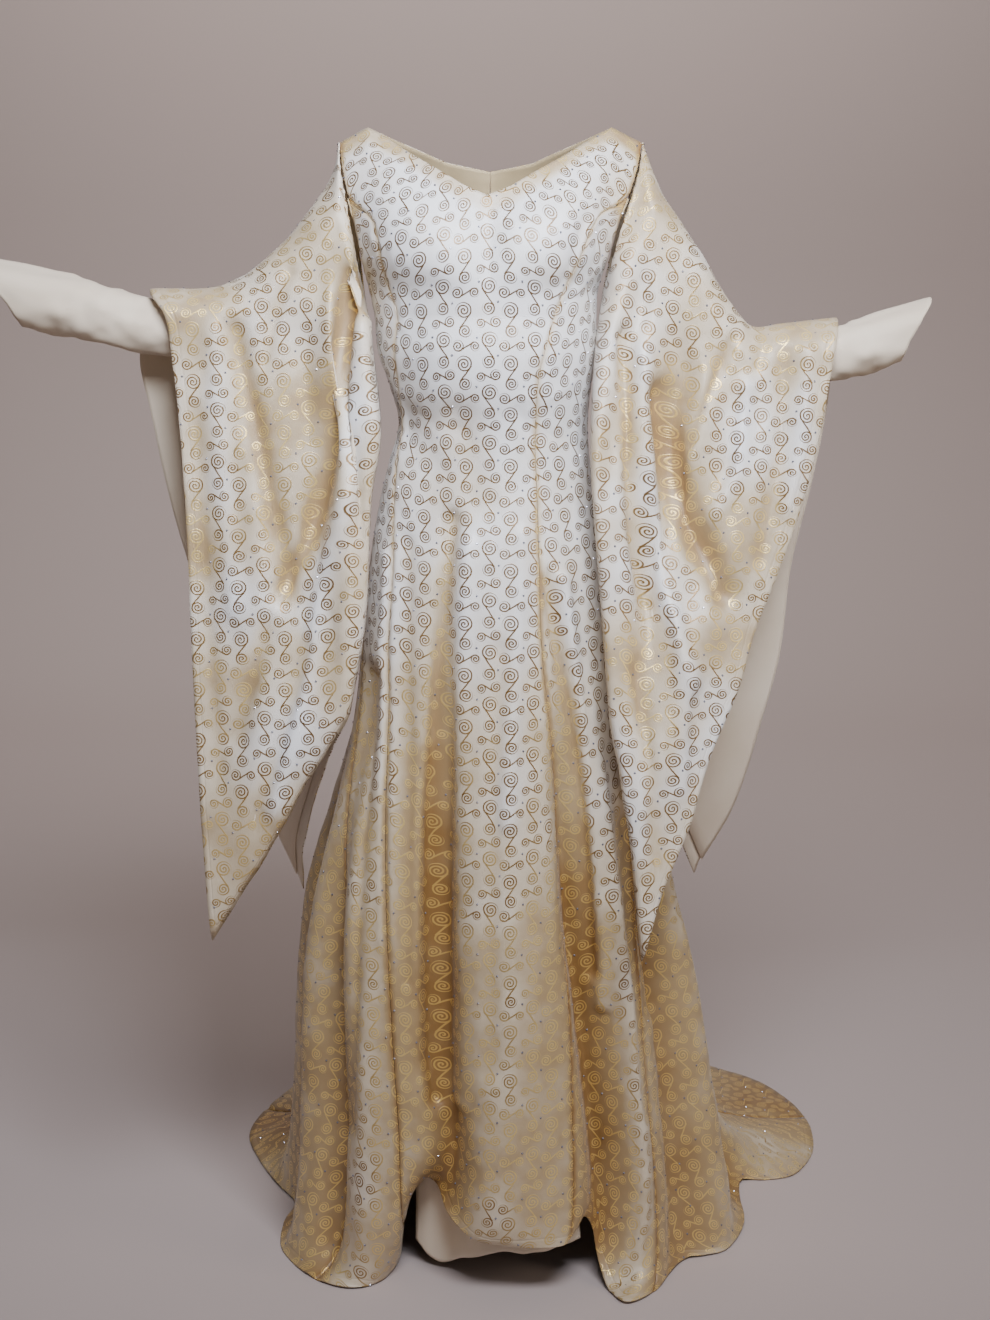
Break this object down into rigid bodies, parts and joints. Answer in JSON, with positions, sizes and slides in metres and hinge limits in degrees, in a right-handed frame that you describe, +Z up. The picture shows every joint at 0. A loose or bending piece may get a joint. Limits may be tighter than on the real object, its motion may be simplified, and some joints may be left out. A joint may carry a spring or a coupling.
{
  "type": "medieval gown",
  "caption": "Floor-length medieval gown in cream brocade with a train, wide pointed lined sleeves, fitted undersleeves with pointed cuffs and a wide V neck, in hollow worn form.",
  "frame": {"origin": "midway between the shoulder seams, where the wearer's shoulders carry the gown", "axes": "+Z up, -Y out of the gown's front, +X to the right as seen from the front"},
  "size_m": [1.1327, 0.8479, 1.3968],
  "materials": {
    "brocade": "cream satin brocade with gold scrolls",
    "crepe": "matt ivory crepe"
  },
  "bodies": {
    "root": {"front_centre": "brocade", "front_side_left": "brocade", "front_side_right": "brocade", "back_side_left": "brocade", "back_side_right": "brocade", "back_left": "brocade", "back_right": "brocade", "sleeve_left": "brocade", "sleeve_right": "brocade", "sleeve_lining_left": "crepe", "sleeve_lining_right": "crepe", "undersleeve_left": "crepe", "undersleeve_right": "crepe", "skirt_lining": "crepe"}
  },
  "joints": []
}
